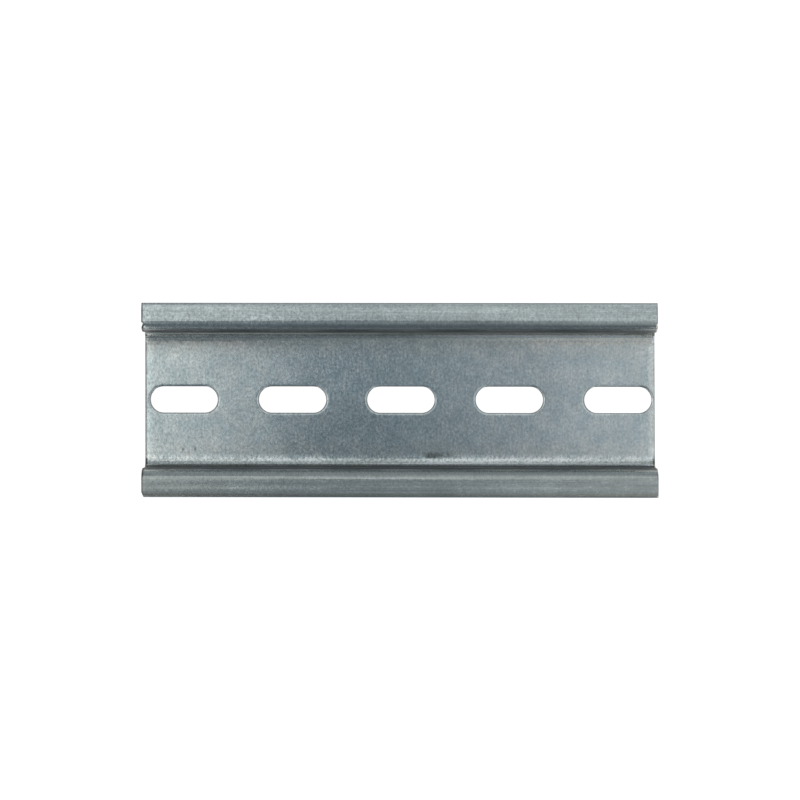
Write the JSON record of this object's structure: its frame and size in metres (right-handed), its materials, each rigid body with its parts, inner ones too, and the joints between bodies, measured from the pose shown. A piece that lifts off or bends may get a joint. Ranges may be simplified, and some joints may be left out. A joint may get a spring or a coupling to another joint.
{
  "type": "din rail",
  "caption": "Short slotted top-hat mounting rail of zinc-plated sheet steel, 35 mm wide and 7.5 mm high, that clip-on electrical devices hook onto.",
  "frame": {"origin": "middle of the rail's back, on the surface that the back of the web rests on", "axes": "+X along the rail's length, +Y across its width, +Z out of the web towards the open side of the channel"},
  "size_m": [0.093, 0.035, 0.0075],
  "materials": {
    "zinc_plated_steel": "satin"
  },
  "bodies": {
    "root": {"rail": "zinc_plated_steel"}
  },
  "joints": []
}
